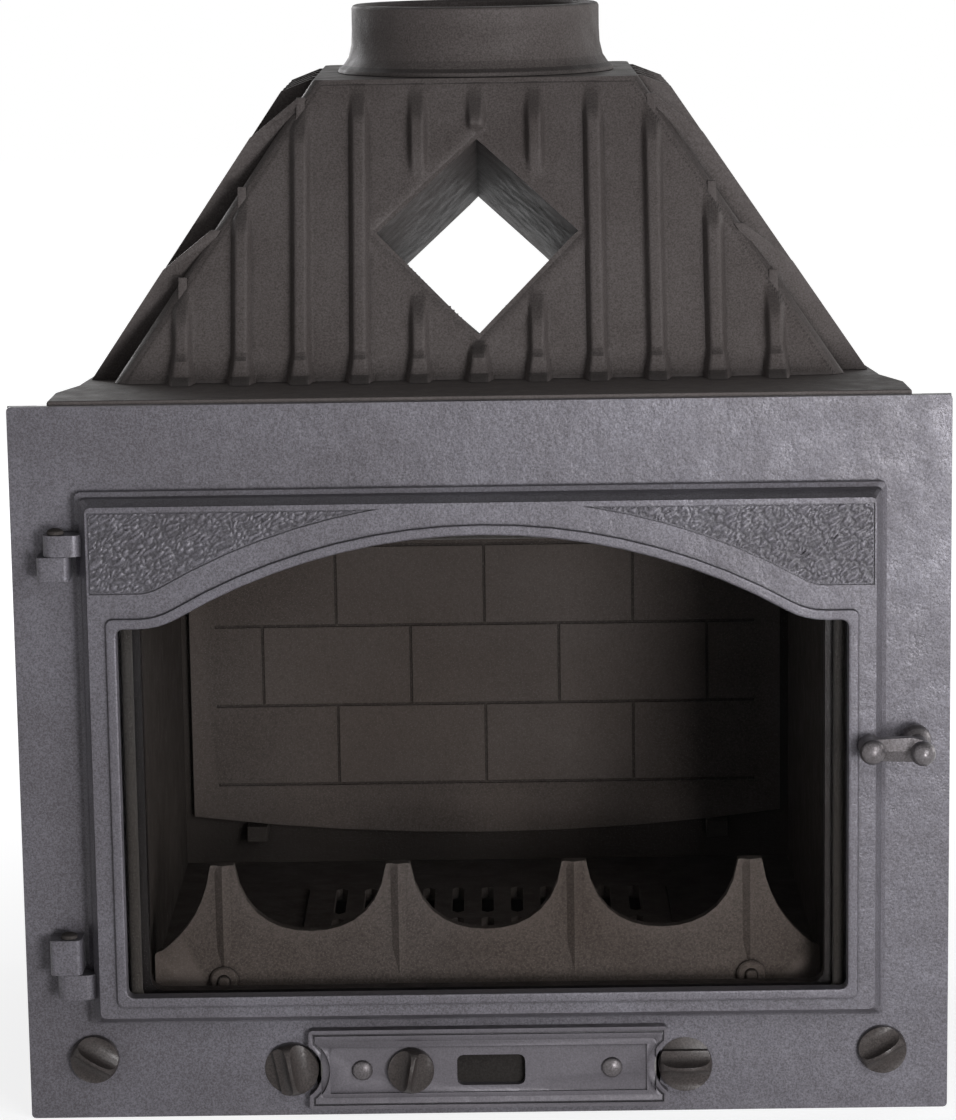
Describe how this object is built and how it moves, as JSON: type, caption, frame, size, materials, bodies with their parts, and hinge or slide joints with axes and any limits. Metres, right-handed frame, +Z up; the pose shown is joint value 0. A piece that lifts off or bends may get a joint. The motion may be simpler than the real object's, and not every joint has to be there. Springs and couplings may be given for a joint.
{
  "type": "fireplace insert",
  "caption": "Cast-iron fireplace insert with an arched glazed door, a ribbed smoke hood pierced by a diamond tunnel, a flue collar and an ash drawer with an air slot.",
  "frame": {"origin": "middle of the footprint at the base", "axes": "+X to the right seen from the front, +Y towards the back, +Z up"},
  "size_m": [0.7, 0.516, 0.8303],
  "materials": {
    "plate_iron": "satin anthracite stove paint on a sand-cast skin",
    "hood_iron": "matt anthracite stove paint",
    "dark_iron": "matt black stove paint",
    "bright_steel": "plain turned steel",
    "sheet_steel": "mill-finish sheet",
    "glass": "clear ceramic glass",
    "rope": "braided glass fibre"
  },
  "bodies": {
    "insert_body": {"front_frame": "plate_iron", "latch_keeper": "dark_iron", "firebox_base": "dark_iron", "firebox_left_wall": "dark_iron", "firebox_right_wall": "dark_iron", "firebox_back_wall": "dark_iron", "firebox_top": "hood_iron", "hearth_plate": "dark_iron", "fire_grate": "dark_iron", "fireback": "dark_iron", "left_liner": "dark_iron", "right_liner": "dark_iron", "smoke_baffle": "dark_iron", "smoke_hood": "hood_iron", "flue_collar": "hood_iron", "guard_bracket_left": "dark_iron", "guard_bracket_right": "dark_iron", "hinge_pin_upper": "bright_steel", "hinge_pin_lower": "bright_steel"},
    "door": {"door_frame": "plate_iron", "glass_gasket": "rope", "door_glass": "glass", "door_rope_seal": "rope", "glass_clip_left_lower": "bright_steel", "glass_clip_left_upper": "bright_steel", "glass_clip_right_lower": "bright_steel", "glass_clip_right_upper": "bright_steel", "clip_screw_left_lower": "bright_steel", "clip_screw_left_upper": "bright_steel", "clip_screw_right_lower": "bright_steel", "clip_screw_right_upper": "bright_steel"},
    "handle": {"door_handle": "plate_iron", "latch_cam": "bright_steel"},
    "ash_drawer": {"ash_drawer_front": "plate_iron", "ash_drawer_pan": "sheet_steel", "drawer_rivet_left": "dark_iron", "drawer_rivet_right": "dark_iron"},
    "air_control": {"air_knob": "dark_iron"},
    "shutter": {"air_shutter": "sheet_steel"},
    "left_button": {"turn_button_left": "dark_iron", "turn_button_left_nut": "bright_steel"},
    "right_button": {"turn_button_right": "dark_iron", "turn_button_right_nut": "bright_steel"},
    "left_corner_knob": {"corner_knob_left": "dark_iron", "corner_knob_left_nut": "bright_steel"},
    "right_corner_knob": {"corner_knob_right": "dark_iron", "corner_knob_right_nut": "bright_steel"},
    "guard": {"log_guard": "dark_iron"}
  },
  "joints": [
    {"name": "door_hinge", "type": "hinge", "parent": "insert_body", "child": "door", "pos_m": [-0.315, -0.203, 0.28], "axis": [0, 0, -1], "range_deg": [0, 105]},
    {"name": "handle_turn", "type": "hinge", "parent": "door", "child": "handle", "pos_m": [0.2865, -0.232, 0.2915], "axis": [0, -1, 0], "range_deg": [0, 35]},
    {"name": "ash_drawer_slide", "type": "slide", "parent": "insert_body", "child": "ash_drawer", "axis": [0, -1, 0], "range_m": [0, 0.25]},
    {"name": "air_knob_turn", "type": "hinge", "parent": "ash_drawer", "child": "air_control", "pos_m": [-0.059, -0.193, 0.0375], "axis": [0, 1, 0], "range_deg": [0, 130]},
    {"name": "air_shutter_slide", "type": "slide", "parent": "ash_drawer", "child": "shutter", "axis": [1, 0, 0], "range_m": [0, 0.0399]},
    {"name": "turn_button_left_turn", "type": "hinge", "parent": "insert_body", "child": "left_button", "pos_m": [-0.15, -0.193, 0.0375], "axis": [0, 1, 0], "range_deg": [0, 180]},
    {"name": "turn_button_right_turn", "type": "hinge", "parent": "insert_body", "child": "right_button", "pos_m": [0.15, -0.193, 0.0375], "axis": [0, 1, 0], "range_deg": [0, 180]},
    {"name": "corner_knob_left_turn", "type": "hinge", "parent": "insert_body", "child": "left_corner_knob", "pos_m": [-0.3, -0.193, 0.0475], "axis": [0, 1, 0], "range_deg": [0, 90]},
    {"name": "corner_knob_right_turn", "type": "hinge", "parent": "insert_body", "child": "right_corner_knob", "pos_m": [0.3, -0.193, 0.0475], "axis": [0, 1, 0], "range_deg": [0, 90]},
    {"name": "log_guard_lift", "type": "slide", "parent": "insert_body", "child": "guard", "axis": [0, 0, 1], "range_m": [0, 0.08]}
  ],
  "couplings": [
    {"joint": "air_shutter_slide", "follows": "air_knob_turn", "m_per_rad": 0.017576}
  ]
}
